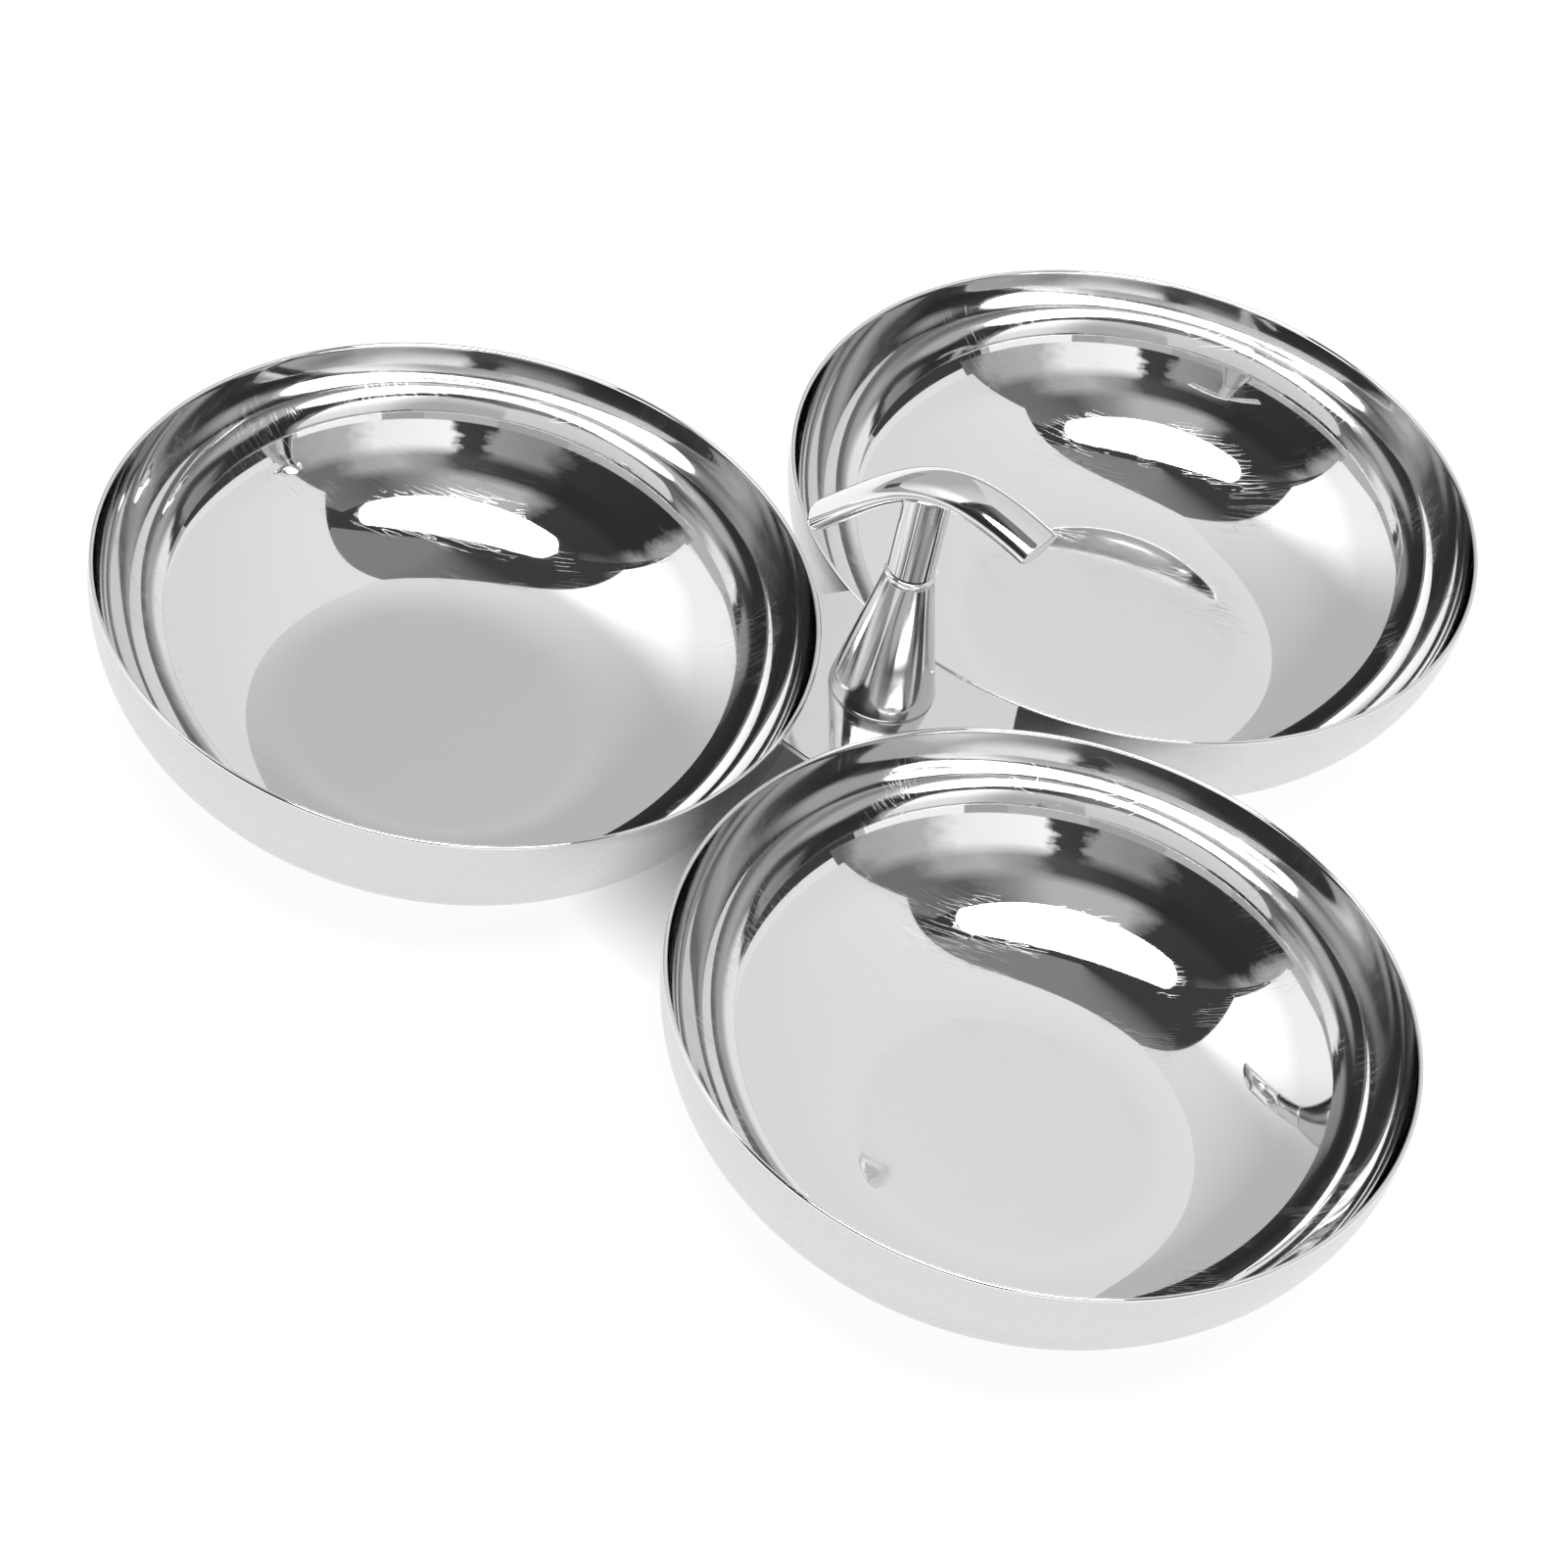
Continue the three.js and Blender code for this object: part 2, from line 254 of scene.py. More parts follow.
class Shader:
    """Short names for building a material's node tree."""

    HEIGHT_SHARE = 1.7  # how fast spinning marks change with height, next to how fast they change outward
    SCRATCH_PATCHES = 55.0  # scale of the noise that says where scratches lie
    SCRATCH_START = 0.5
    SCRATCH_FULL = 0.62

    def __init__(self, name, colour, roughness, metallic=1.0):
        self.material = bpy.data.materials.new(name)
        self.material.use_nodes = True
        self.tree = self.material.node_tree
        self.surface = self.tree.nodes["Principled BSDF"]
        self.surface.inputs["Base Color"].default_value = (*colour, 1)
        self.surface.inputs["Metallic"].default_value = metallic
        self.surface.inputs["Roughness"].default_value = roughness
        self.place = self.add("ShaderNodeTexCoord").outputs["Object"]

    def add(self, kind, *values, **settings):
        """Adds a node. values fill its inputs in order with numbers or with other nodes' outputs."""
        node = self.tree.nodes.new(kind)
        for key, value in settings.items():
            setattr(node, key, value)
        for socket, value in zip(node.inputs, values):
            self.fill(socket, value)
        return node

    def fill(self, socket, value):
        if value is None:
            return
        if isinstance(value, bpy.types.NodeSocket):
            self.tree.links.new(value, socket)
        else:
            socket.default_value = value

    def math(self, operation, *values):
        return self.add("ShaderNodeMath", *values, operation=operation).outputs[0]

    def vector(self, operation, *values):
        return self.add("ShaderNodeVectorMath", *values, operation=operation).outputs[0]

    def noise(self, place, scale, detail=2.0, roughness=0.5):
        node = self.add("ShaderNodeTexNoise")
        self.fill(node.inputs["Vector"], place)
        self.fill(node.inputs["Scale"], scale)
        self.fill(node.inputs["Detail"], detail)
        self.fill(node.inputs["Roughness"], roughness)
        return node.outputs["Fac"]

    def remap(self, value, low, high, to_low=0.0, to_high=1.0):
        node = self.add("ShaderNodeMapRange", value, low, high, to_low, to_high)
        return node.outputs[0]

    def mix(self, share, first, second):
        """Goes from the first colour to the second. Each is a plain colour or another node's output."""
        node = self.add("ShaderNodeMix", data_type="RGBA")
        self.fill(node.inputs[0], share)
        for socket, colour in ((node.inputs[6], first), (node.inputs[7], second)):
            self.fill(socket, (*colour, 1) if isinstance(colour, tuple) else colour)
        return node.outputs[2]

    def flat_offset(self, centre):
        """The level step from an upright axis to the place."""
        return self.vector("MULTIPLY", self.vector("SUBTRACT", self.place, (*centre, 0)), (1, 1, 0))

    def length(self, vector):
        return self.add("ShaderNodeVectorMath", vector, operation="LENGTH").outputs["Value"]

    def spread(self, noise, to_low, to_high):
        """Stretches a noise over a range."""
        return self.remap(noise, NOISE_LOW, NOISE_HIGH, to_low, to_high)

    def roughen(self, *parts):
        """Adds the parts up and sets the roughness to the sum."""
        total = parts[0]
        for part in parts[1:]:
            total = self.math("ADD", total, part)
        self.fill(self.surface.inputs["Roughness"], total)

    def round_place(self, centre, reach):
        """Coordinates that stay alike along each circle about centre, for marks left by spinning."""
        flat = self.flat_offset(centre)
        radius = self.length(flat)
        unit = self.add("ShaderNodeVectorMath", flat, operation="NORMALIZE").outputs[0]
        around = self.add("ShaderNodeVectorMath", unit, None, None, reach, operation="SCALE").outputs[0]
        parts = self.add("ShaderNodeSeparateXYZ", around)
        height = self.add("ShaderNodeSeparateXYZ", self.place).outputs[2]
        along = self.math("ADD", radius, self.math("MULTIPLY", height, self.HEIGHT_SHARE))
        return self.add("ShaderNodeCombineXYZ", parts.outputs[0], parts.outputs[1], along).outputs[0]

    def scratches(self, stretch, turn, scale, width):
        """Thin long lines: the places where a stretched noise crosses its middle value."""
        turned_place = self.add("ShaderNodeMapping", self.place, vector_type="POINT")
        turned_place.inputs["Rotation"].default_value = turn
        turned_place.inputs["Scale"].default_value = stretch
        lines = self.noise(turned_place.outputs[0], scale, detail=1.0)
        near = self.math("ABSOLUTE", self.math("SUBTRACT", lines, 0.5))
        line = self.remap(near, 0.0, width, 1.0, 0.0)
        where = self.noise(self.place, self.SCRATCH_PATCHES)
        return self.math("MULTIPLY", line, self.remap(where, self.SCRATCH_START, self.SCRATCH_FULL))

    def relief(self, height, strength, distance):
        bump = self.add("ShaderNodeBump")
        bump.inputs["Strength"].default_value = strength
        bump.inputs["Distance"].default_value = distance
        self.fill(bump.inputs["Height"], height)
        self.fill(self.surface.inputs["Normal"], bump.outputs[0])


def polished_bowl(name, centre):
    """Mirror polish with spin marks, hairlines and faint smudges."""
    shader = Shader(name, WALL_STEEL, 0.04)
    spin = shader.noise(shader.round_place(centre, reach=0.012), scale=900.0, detail=3.0, roughness=0.6)
    smudge = shader.noise(shader.place, scale=38.0, detail=4.0, roughness=0.6)
    hair = shader.scratches(stretch=(1, 14, 1), turn=(0, 0, 0.5), scale=70.0, width=0.006)
    cross = shader.scratches(stretch=(1, 12, 1), turn=(0, 0, -0.7), scale=60.0, width=0.005)
    marks = shader.math("MAXIMUM", hair, cross)
    # The pressed floor is a little duller and darker than the turned wall around it.
    radius = shader.length(shader.flat_offset(centre))
    wall_share = shader.remap(radius, BASE_RADIUS - FLOOR_EDGE_SOFTNESS, BASE_RADIUS)
    tint = shader.mix(wall_share, FLOOR_STEEL, WALL_STEEL)
    shader.fill(shader.surface.inputs["Base Color"], tint)
    # Hands and stacking have worn the upper wall a little duller, in grainy patches.
    level = shader.add("ShaderNodeSeparateXYZ", shader.place).outputs[2]
    grain = shader.noise(shader.round_place(centre, reach=0.05), scale=260.0, detail=4.0, roughness=0.7)
    worn = shader.remap(level, 0.5 * BOWL_HEIGHT, 0.85 * BOWL_HEIGHT, to_low=0.0, to_high=0.05)
    shader.roughen(
        shader.spread(spin, 0.012, 0.035),
        shader.remap(smudge, 0.45, 0.75, to_low=0.0, to_high=0.02),
        shader.math("MULTIPLY", marks, 0.12),
        shader.remap(wall_share, 0.0, 1.0, to_low=0.04, to_high=0.0),
        shader.math("MULTIPLY", worn, grain),
    )
    height = shader.math("SUBTRACT", shader.math("MULTIPLY", spin, 0.25), marks)
    shader.relief(height, strength=0.25, distance=POLISH_DEPTH)
    return shader.material


def satin_bowl(name, centre):
    """Finely brushed outside of a bowl, brushed around."""
    shader = Shader(name, SATIN_STEEL, 0.27)
    brush = shader.noise(shader.round_place(centre, reach=0.02), scale=900.0, detail=4.0, roughness=0.7)
    patch = shader.noise(shader.place, scale=30.0, detail=3.0)
    shader.roughen(shader.spread(brush, 0.24, 0.34), shader.spread(patch, -0.01, 0.02))
    shader.relief(brush, strength=0.15, distance=BRUSH_DEPTH)
    return shader.material


def polished_post(name, stretch, roughness_low, roughness_high, level=0.87):
    """Mirror polish with fine lines. stretch is large across the lines. level sets how light the steel is:
    parts given less than the default are darker copies of one steel, which is painted shade.
    """
    shader = Shader(name, (level, level, level + 0.005), 0.04)
    drawn = shader.add("ShaderNodeMapping", shader.place)
    drawn.inputs["Scale"].default_value = stretch
    lines = shader.noise(drawn.outputs[0], scale=260.0, detail=3.0, roughness=0.6)
    smudge = shader.noise(shader.place, scale=90.0, detail=3.0)
    marks = shader.scratches(stretch=(1, 9, 1), turn=(0, 0.3, 0.6), scale=150.0, width=0.008)
    shader.roughen(
        shader.spread(lines, roughness_low, roughness_high),
        shader.remap(smudge, 0.45, 0.75, to_low=0.0, to_high=0.03),
        shader.math("MULTIPLY", marks, 0.1),
    )
    height = shader.math("SUBTRACT", shader.math("MULTIPLY", lines, 0.3), marks)
    shader.relief(height, strength=0.25, distance=POLISH_DEPTH)
    return shader.material


def worn_metal(name, colour, low, high, grain):
    """Plain machined or soldered metal with a speckled surface."""
    shader = Shader(name, colour, (low + high) / 2)
    speckle = shader.noise(shader.place, scale=grain, detail=4.0, roughness=0.65)
    broad = shader.noise(shader.place, scale=grain / 8)
    mixed = shader.math("ADD", shader.math("MULTIPLY", speckle, 0.7), shader.math("MULTIPLY", broad, 0.3))
    shader.roughen(shader.spread(mixed, low, high))
    dark = tuple(value * 0.8 for value in colour)
    tint = shader.mix(shader.remap(mixed, 0.35, 0.65), dark, colour)
    shader.fill(shader.surface.inputs["Base Color"], tint)
    shader.relief(mixed, strength=0.4, distance=SPECKLE_DEPTH)
    return shader.material


post_middle = middle("post_cone")
axis = (post_middle.x, post_middle.y)

# Bowls.
for side in BOWL_AZIMUTHS:
    profile, bands = bowl_profile(FLOOR_RISES[side])
    bowl_middle = middle("bowl_" + side)
    centre = (bowl_middle.x, bowl_middle.y)
    outside = satin_bowl("satin_outside_" + side, centre)
    lip = polished_bowl("polished_lip_" + side, centre)
    inside = polished_bowl("polished_inside_" + side, centre)
    materials = [outside, lip, inside]
    bowl = revolve("bowl_" + side + "_fine", profile, even_angles(BOWL_SIDES), centre, materials, bands)
    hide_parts("bowl_" + side)


# Hub plate: arcs along the rims, joined by three short straight ends.
def arc_radius(turn):
    """Distance from the post to a rim, at an angle away from the line to that bowl."""
    across = BOWL_DISTANCE * math.sin(turn)
    return BOWL_DISTANCE * math.cos(turn) - math.sqrt(RIM_RADIUS**2 - across**2)


def plate_corner_turn():
    low = 0.0
    high = math.pi / 3
    for _ in range(CORNER_SEARCH_ROUNDS):
        turn = (low + high) / 2
        if RIM_RADIUS <= BOWL_DISTANCE * math.sin(turn):
            high = turn
        elif arc_radius(turn) * math.cos(math.pi / 3 - turn) < PLATE_REACH:
            low = turn
        else:
            high = turn
    return low


def plate_radius(angle):
    turn = abs(angle % (2 * math.pi / 3) - math.pi / 3)
    if turn <= corner_turn + 1e-9:
        return arc_radius(min(turn, corner_turn))
    return PLATE_REACH / math.cos(math.pi / 3 - turn)


corner_turn = plate_corner_turn()
plate_angles = []
for azimuth in (math.pi / 3, math.pi, 5 * math.pi / 3):
    for step in range(PLATE_ARC_STEPS):
        plate_angles.append(azimuth - corner_turn + 2 * corner_turn * step / PLATE_ARC_STEPS)
    gap = 2 * math.pi / 3 - 2 * corner_turn
    for step in range(PLATE_END_STEPS):
        plate_angles.append(azimuth + corner_turn + gap * step / PLATE_END_STEPS)
plate_bottom = PLATE_TOP - PLATE_THICKNESS
plate_rings = [
    (STUD_TUNNEL, plate_bottom),
    lambda angle: (plate_radius(angle) - PLATE_BEVEL, plate_bottom),
    lambda angle: (plate_radius(angle), plate_bottom + PLATE_BEVEL),
    lambda angle: (plate_radius(angle), PLATE_TOP - PLATE_BEVEL),
    lambda angle: (plate_radius(angle) - PLATE_BEVEL, PLATE_TOP),
    (STUD_TUNNEL, PLATE_TOP),
]
# The plate's steel is a darker copy of the polished steel: painted shade.
plate_steel = polished_post("polished_plate", (1, 6, 1), 0.04, 0.09, level=0.79)
plate = revolve("hub_plate_fine", plate_rings, plate_angles, axis, [plate_steel])
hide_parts("hub_plate")


# Solder seams: a hollow fillet in the corner between a bowl and the plate's underside.
def seam_mesh(name, centre, inward):
    vertices = []
    for station in range(SEAM_STATIONS + 1):
        share = 2 * station / SEAM_STATIONS - 1
        angle = inward + SEAM_HALF_ANGLE * share
        swell = 1 + 0.08 * math.sin(17 * share) + 0.05 * math.sin(41 * share + 1)
        leg = SEAM_LEG * swell * math.sqrt(max(1 - abs(share) ** 6, 0.02))
        section = [(0.0, 0.0)]
        for step in range(SEAM_FILLET_STEPS + 1):
            bend = math.pi / 2 * step / SEAM_FILLET_STEPS
            section.append((leg * (1 - math.sin(bend)), -leg * (1 - math.cos(bend))))
        for out, up in section:
            radius = RIM_RADIUS + out
            x = centre[0] + radius * math.cos(angle)
            y = centre[1] + radius * math.sin(angle)
            vertices.append((x, y, plate_bottom + up))
    count = SEAM_FILLET_STEPS + 2
    last = SEAM_STATIONS * count
    faces = [tuple(range(count)), tuple(reversed(range(last, last + count)))]
    for station in range(SEAM_STATIONS):
        here = station * count
        for k in range(count):
            after = (k + 1) % count
            faces.append((here + k, here + count + k, here + count + after, here + after))
    mesh = bpy.data.meshes.new(name)
    mesh.from_pydata(vertices, [], faces)
    return mesh


solder = worn_metal("dull_solder", (0.62, 0.62, 0.6), 0.3, 0.5, 1500.0)
for side, azimuth in BOWL_AZIMUTHS.items():
    bowl_middle = middle("bowl_" + side)
    name = "solder_seam_" + side
    mesh = seam_mesh(name + "_fine", (bowl_middle.x, bowl_middle.y), azimuth + math.pi)
    seam = new_piece(name + "_fine", mesh, [solder])
    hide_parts(name)

# Cone, collar and stud.
FOOT_STEPS = 6
SLOPE_STEPS = 8
EDGE_STEPS = 4
COLLAR_STEPS = 10
cone_rings = [(CONE_BASE_RADIUS - CONE_WALL, CONE_FOOT), (CONE_BASE_RADIUS - CONE_FOOT_ROUND, CONE_FOOT)]
for step in range(1, FOOT_STEPS):
    bend = math.pi / 2 * step / FOOT_STEPS
    radius = CONE_BASE_RADIUS - CONE_FOOT_ROUND * (1 - math.sin(bend))
    cone_rings.append((radius, CONE_FOOT + CONE_FOOT_ROUND * (1 - math.cos(bend))))
for step in range(SLOPE_STEPS + 1):
    share = step / SLOPE_STEPS
    low = CONE_FOOT + CONE_FOOT_ROUND
    high = CONE_TOP - CONE_TOP_ROUND
    height = low + (high - low) * share
    radius = CONE_BASE_RADIUS + (CONE_TOP_RADIUS - CONE_BASE_RADIUS) * share
    cone_rings.append((radius, height))
for step in range(1, EDGE_STEPS + 1):
    bend = math.pi / 2 * step / EDGE_STEPS
    radius = CONE_TOP_RADIUS - CONE_TOP_ROUND * (1 - math.cos(bend))
    cone_rings.append((radius, CONE_TOP - CONE_TOP_ROUND * (1 - math.sin(bend))))
cone_rings.append((STUD_TUNNEL, CONE_TOP))
cone_rings.append((STUD_TUNNEL, CONE_TOP - CONE_WALL))
cone_rings.append((CONE_TOP_RADIUS - CONE_WALL, CONE_TOP - CONE_WALL))
# The cone's steel is a much darker copy of the polished steel: painted shade.
cone_steel = polished_post("polished_cone", (0.12, 0.12, 1), 0.08, 0.15, level=0.6)
cone = revolve("post_cone_fine", cone_rings, even_angles(POST_SIDES), axis, [cone_steel])
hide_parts("post_cone")

collar_rings = [(STUD_TUNNEL, COLLAR_FOOT)]
collar_half = (COLLAR_TOP - COLLAR_FOOT) / 2
for step in range(COLLAR_STEPS + 1):
    bend = math.pi * (step / COLLAR_STEPS - 0.5)
    radius = COLLAR_RADIUS - COLLAR_BULGE * (1 - math.cos(bend))
    collar_rings.append((radius, COLLAR_FOOT + collar_half * (1 + math.sin(bend))))
collar_rings.append((STUD_TUNNEL, COLLAR_TOP))
collar_steel = polished_post("polished_collar", (1, 1, 4), 0.03, 0.07)
collar = revolve("post_collar_fine", collar_rings, even_angles(POST_SIDES), axis, [collar_steel])
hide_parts("post_collar")

machined = worn_metal("machined_steel", (0.66, 0.66, 0.67), 0.2, 0.34, 2200.0)
stud_foot = plate_bottom - STUD_BELOW_PLATE
stud_rings = [
    (0, stud_foot),
    (STUD_RADIUS - STUD_CHAMFER, stud_foot),
    (STUD_RADIUS, stud_foot + STUD_CHAMFER),
    (STUD_RADIUS, NECK_FOOT - STUD_CHAMFER),
    (0, NECK_FOOT - STUD_CHAMFER),
]
stud = revolve("tie_stud_fine", stud_rings, even_angles(STUD_SIDES), axis, [machined])
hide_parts("tie_stud")

# Washer and domed nut.
washer_top = plate_bottom
washer_foot = washer_top - WASHER_HEIGHT
washer_rings = [
    (STUD_TUNNEL, washer_foot),
    (WASHER_RADIUS - WASHER_BEVEL, washer_foot),
    (WASHER_RADIUS, washer_foot + WASHER_BEVEL),
    (WASHER_RADIUS, washer_top - WASHER_BEVEL),
    (WASHER_RADIUS - WASHER_BEVEL, washer_top),
    (STUD_TUNNEL, washer_top),
]
washer = revolve("washer_fine", washer_rings, even_angles(WASHER_SIDES), axis, [machined])
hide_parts("washer")

nut_top = washer_foot
nut_foot = middle("domed_nut").z * 2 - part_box("domed_nut")[1].z + NUT_DOME_HEIGHT


def hexagon(limit, height):
    """A hexagon ring whose corners are turned down to a limit radius."""

    def ring(angle):
        turn = abs(angle % (math.pi / 3) - math.pi / 6)
        return min(NUT_ACROSS_FLATS / 2 / math.cos(math.pi / 6 - turn), limit), height

    return ring


corner_radius = NUT_ACROSS_FLATS / 2 / math.cos(math.pi / 6)
nut_rings = [(0, nut_foot - NUT_DOME_HEIGHT)]
for step in range(1, NUT_DOME_STEPS + 1):
    bend = math.pi / 2 * step / NUT_DOME_STEPS
    nut_rings.append((NUT_DOME_RADIUS * math.sin(bend), nut_foot - NUT_DOME_HEIGHT * math.cos(bend)))
for step in range(NUT_CHAMFER_STEPS + 1):
    start = NUT_DOME_RADIUS + NUT_SHOULDER
    limit = start + (corner_radius - NUT_DOME_RADIUS - NUT_SHOULDER) * step / NUT_CHAMFER_STEPS
    rise = NUT_LOW_CHAMFER * (step / NUT_CHAMFER_STEPS) ** NUT_CHAMFER_CURVE
    nut_rings.append(hexagon(limit, nut_foot + rise))
for step in range(NUT_CHAMFER_STEPS + 1):
    cut = corner_radius - NUT_ACROSS_FLATS / 2 + NUT_TOP_INSET
    limit = corner_radius - cut * step / NUT_CHAMFER_STEPS
    drop = NUT_TOP_CHAMFER * (1 - step / NUT_CHAMFER_STEPS) ** NUT_CHAMFER_CURVE
    nut_rings.append(hexagon(limit, nut_top - drop))
nut_rings.append((STUD_TUNNEL, nut_top))
nut_rings.append((STUD_TUNNEL, stud_foot - NUT_BORE_GAP))
nut_rings.append((0, stud_foot - NUT_BORE_GAP))
nut = revolve("domed_nut_fine", nut_rings, even_angles(NUT_SIDES), axis, [machined])
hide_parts("domed_nut")


# Handle.
def handle_slope(along):
    share = (1 + math.tanh(along / HANDLE_BEND_SPREAD)) / 2
    return -HANDLE_LEFT_SLOPE + (HANDLE_LEFT_SLOPE + HANDLE_RIGHT_SLOPE) * share


def walk_bar(length, side, stations):
    """Points (out, height, slope) passed on the way from the bend to one end of the bar."""
    pace = side * length / stations
    out = HANDLE_BEND_OUT
    height = HANDLE_BEND_HEIGHT
    passed = []
    for count in range(stations):
        slope = handle_slope((count + 0.5) * pace)
        out += pace * math.cos(slope)
        height -= pace * math.sin(slope)
        passed.append((out, height, handle_slope((count + 1) * pace)))
    return passed


def bar_line():
    """The bar's centre line from the left end to the right end."""
    left = walk_bar(HANDLE_LEFT_LENGTH, -1, HANDLE_STATIONS // 2)
    right = walk_bar(HANDLE_RIGHT_LENGTH, 1, HANDLE_STATIONS // 2)
    return left[::-1] + [(HANDLE_BEND_OUT, HANDLE_BEND_HEIGHT, handle_slope(0))] + right


def bar_place(out, side, height):
    """Turns a place in the bar's own plane into the frame: out along the plane, side across it."""
    x = axis[0] + out * math.cos(HANDLE_TURN) - side * math.sin(HANDLE_TURN)
    y = axis[1] + out * math.sin(HANDLE_TURN) + side * math.cos(HANDLE_TURN)
    return (x, y, height)


def handle_mesh(name):
    line = bar_line()
    # The rings at each end shrink over the bevel, and a flat face closes the smallest.
    rings = []
    for back, shrink in HANDLE_BEVEL_RINGS:
        rings.append((0, back * HANDLE_END_BEVEL, shrink * HANDLE_END_BEVEL))
    for k in range(2, len(line) - 2):
        rings.append((k, 0.0, 0.0))
    for back, shrink in reversed(HANDLE_BEVEL_RINGS):
        rings.append((len(line) - 1, -back * HANDLE_END_BEVEL, shrink * HANDLE_END_BEVEL))
    vertices = []
    for k, ahead, shrink in rings:
        out, height, slope = line[k]
        out += ahead * math.cos(slope)
        height -= ahead * math.sin(slope)
        for step in range(HANDLE_SECTION):
            turn = 2 * math.pi * step / HANDLE_SECTION
            side = (HANDLE_HALF_WIDTH - shrink) * math.cos(turn)
            up = (HANDLE_HALF_THICKNESS - shrink) * math.sin(turn)
            vertices.append(bar_place(out + up * math.sin(slope), side, height + up * math.cos(slope)))
    faces = []
    for ring in range(len(rings) - 1):
        here = ring * HANDLE_SECTION
        for step in range(HANDLE_SECTION):
            after = (step + 1) % HANDLE_SECTION
            above = here + HANDLE_SECTION
            faces.append((here + step, here + after, above + after, above + step))
    last = (len(rings) - 1) * HANDLE_SECTION
    faces.append(tuple(reversed(range(HANDLE_SECTION))))
    faces.append(tuple(range(last, last + HANDLE_SECTION)))
    mesh = bpy.data.meshes.new(name)
    mesh.from_pydata(vertices, [], faces)
    return mesh


# The handle's steel is a darker copy of the polished steel: painted shade.
handle_steel = polished_post("polished_handle", (0.2, 0.9, 1), 0.03, 0.08, level=0.8)
handle = new_piece("handle_bar_fine", handle_mesh("handle_bar_fine"), [handle_steel])
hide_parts("handle_bar")

centre_line = bar_line()


def bar_underside(x, y):
    """Height of the bar's underside above a place given relative to the post's axis."""
    out = x * math.cos(HANDLE_TURN) + y * math.sin(HANDLE_TURN)
    side = -x * math.sin(HANDLE_TURN) + y * math.cos(HANDLE_TURN)
    half = HANDLE_HALF_THICKNESS * math.sqrt(max(1 - (side / HANDLE_HALF_WIDTH) ** 2, 0))
    before = None
    for line_out, height, slope in centre_line:
        under = (line_out - half * math.sin(slope), height - half * math.cos(slope))
        if under[0] >= out:
            share = (out - before[0]) / (under[0] - before[0])
            return before[1] + (under[1] - before[1]) * share
        before = under
    return before[1]


def neck_ring(share):
    """A ring of the neck, from its foot at share 0 to the start of the flare at share 1."""

    def ring(angle):
        under = bar_underside(NECK_RADIUS * math.cos(angle), NECK_RADIUS * math.sin(angle))
        low = NECK_FOOT + NECK_BEVEL
        return NECK_RADIUS, low + (under - flare_at(angle) - low) * share

    return ring


def flare_at(angle):
    """Size of the small fillet under the bar. It fades out where the neck meets the bar's sides."""
    return NECK_FLARE * (0.25 + 0.75 * math.cos(angle - HANDLE_TURN) ** 2)


def flare_ring(share, lift):
    """A ring of the fillet, from the neck at share 0 to the bar at share 1, raised by lift."""

    def ring(angle):
        size = flare_at(angle)
        bend = math.pi / 2 * share
        radius = NECK_RADIUS + size * (1 - math.cos(bend))
        under = bar_underside(radius * math.cos(angle), radius * math.sin(angle))
        return radius, under - size * (1 - math.sin(bend)) + lift

    return ring


neck_rings = [(0, NECK_FOOT), (NECK_RADIUS - NECK_BEVEL, NECK_FOOT)]
for step in range(NECK_STEPS + 1):
    neck_rings.append(neck_ring(step / NECK_STEPS))
for step in range(1, NECK_FLARE_STEPS + 1):
    neck_rings.append(flare_ring(step / NECK_FLARE_STEPS, 0.0))
neck_rings.append(flare_ring(1.0, NECK_OVERLAP))
neck_rings.append((0, HANDLE_BEND_HEIGHT - NECK_CORE_DROP))
# The neck's steel is a darker copy of the polished steel: painted shade.
neck_steel = polished_post("polished_neck", (0.12, 0.12, 1), 0.06, 0.12, level=0.72)
neck = revolve("post_neck_fine", neck_rings, even_angles(POST_SIDES), axis, [neck_steel])
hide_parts("post_neck")


# Floor and studio. Everything but the floor is out of the camera's sight and only shows in reflections.
def studio_object(name, corners, faces):
    """Links a mesh that belongs to the studio, not to the dish."""
    mesh = bpy.data.meshes.new(name)
    mesh.from_pydata(corners, [], faces)
    thing = bpy.data.objects.new(name, mesh)
    bpy.context.scene.collection.objects.link(thing)
    return thing


